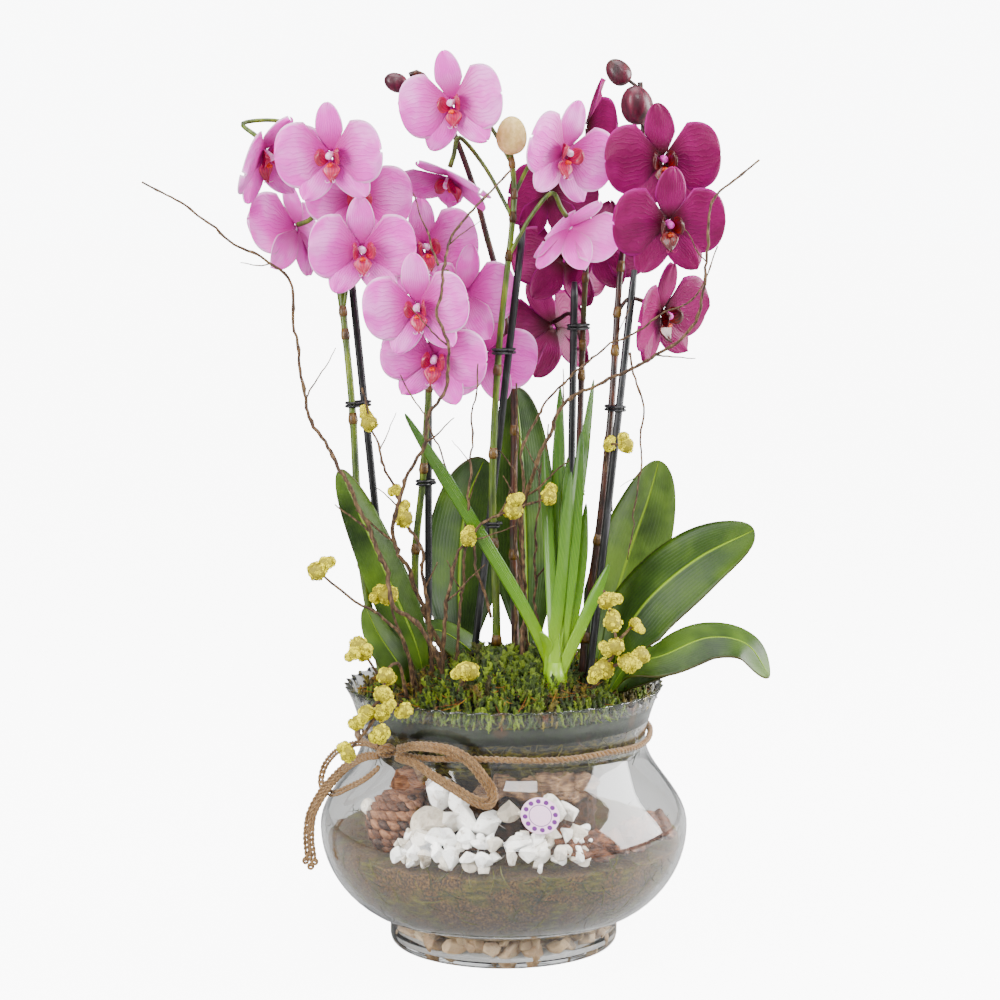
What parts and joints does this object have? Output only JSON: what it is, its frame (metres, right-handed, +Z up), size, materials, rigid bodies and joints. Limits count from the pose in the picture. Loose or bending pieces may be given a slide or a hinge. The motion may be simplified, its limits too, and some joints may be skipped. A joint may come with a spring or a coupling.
{
  "type": "potted orchid",
  "caption": "Moth orchids, bulb leaves and dried sprigs planted in moss in a footed round glass bowl with a flared neck, tied with a twine bow.",
  "frame": {"origin": "centre of the underside of the glass bowl's foot", "axes": "+Z up along the axis of the bowl, -Y out of the front, +X to the viewer's right"},
  "size_m": [0.4876, 0.296, 0.7109],
  "materials": {
    "clear_glass": "polished",
    "pebbles": "matte",
    "soil": "matte",
    "moss": "matte",
    "white_stone": "matte",
    "pine_cone": "matte",
    "bark": "matte",
    "tag": "satin",
    "twine": "matte",
    "green_stem": "satin",
    "dark_stem": "satin",
    "stake": "satin",
    "pink_petal": "satin",
    "magenta_petal": "satin",
    "orchid_leaf": "satin",
    "bulb_leaf": "satin",
    "twig": "matte",
    "sprig": "matte"
  },
  "bodies": {
    "root": {"back_stem": "dark_stem", "back_upright_leaf": "orchid_leaf", "bark_chunk": "bark", "bulb_leaves": "bulb_leaf", "centre_arching_leaf": "orchid_leaf", "centre_clip": "stake", "centre_flower_1": "pink_petal", "centre_flower_2": "pink_petal", "centre_flower_3": "pink_petal", "centre_flower_4": "pink_petal", "centre_stake": "stake", "centre_stem": "green_stem", "centre_twig": "twig", "driftwood": "bark", "foot_pebbles": "pebbles", "glass_bowl": "clear_glass", "hanging_sprig": "sprig", "left_clip": "stake", "left_flower_1": "pink_petal", "left_flower_2": "pink_petal", "left_flower_3": "pink_petal", "left_flower_4": "pink_petal", "left_flower_5": "pink_petal", "left_long_leaf": "orchid_leaf", "left_sprig": "sprig", "left_stake": "stake", "left_stem": "green_stem", "left_twig": "twig", "middle_flower_1": "pink_petal", "middle_flower_2": "pink_petal", "middle_flower_3": "pink_petal", "middle_flower_4": "pink_petal", "middle_stake": "stake", "middle_stem": "green_stem", "moss_cushion": "moss", "pine_cone": "pine_cone", "right_broad_leaf": "orchid_leaf", "right_clip": "stake", "right_drooping_leaf": "orchid_leaf", "right_flower_1": "magenta_petal", "right_flower_2": "magenta_petal", "right_flower_3": "magenta_petal", "right_flower_4": "magenta_petal", "right_flower_5": "magenta_petal", "right_inner_stake": "stake", "right_inner_stem": "dark_stem", "right_outer_stake": "stake", "right_outer_stem": "dark_stem", "right_sprig": "sprig", "right_twig": "twig", "right_upright_leaf": "orchid_leaf", "root_ball": "moss", "round_tag": "tag", "soil_bed": "soil", "twine_collar": "twine", "twine_loop_left": "twine", "twine_loop_right": "twine", "twine_tails": "twine", "white_stone_left": "white_stone", "white_stone_right": "white_stone"}
  },
  "joints": []
}
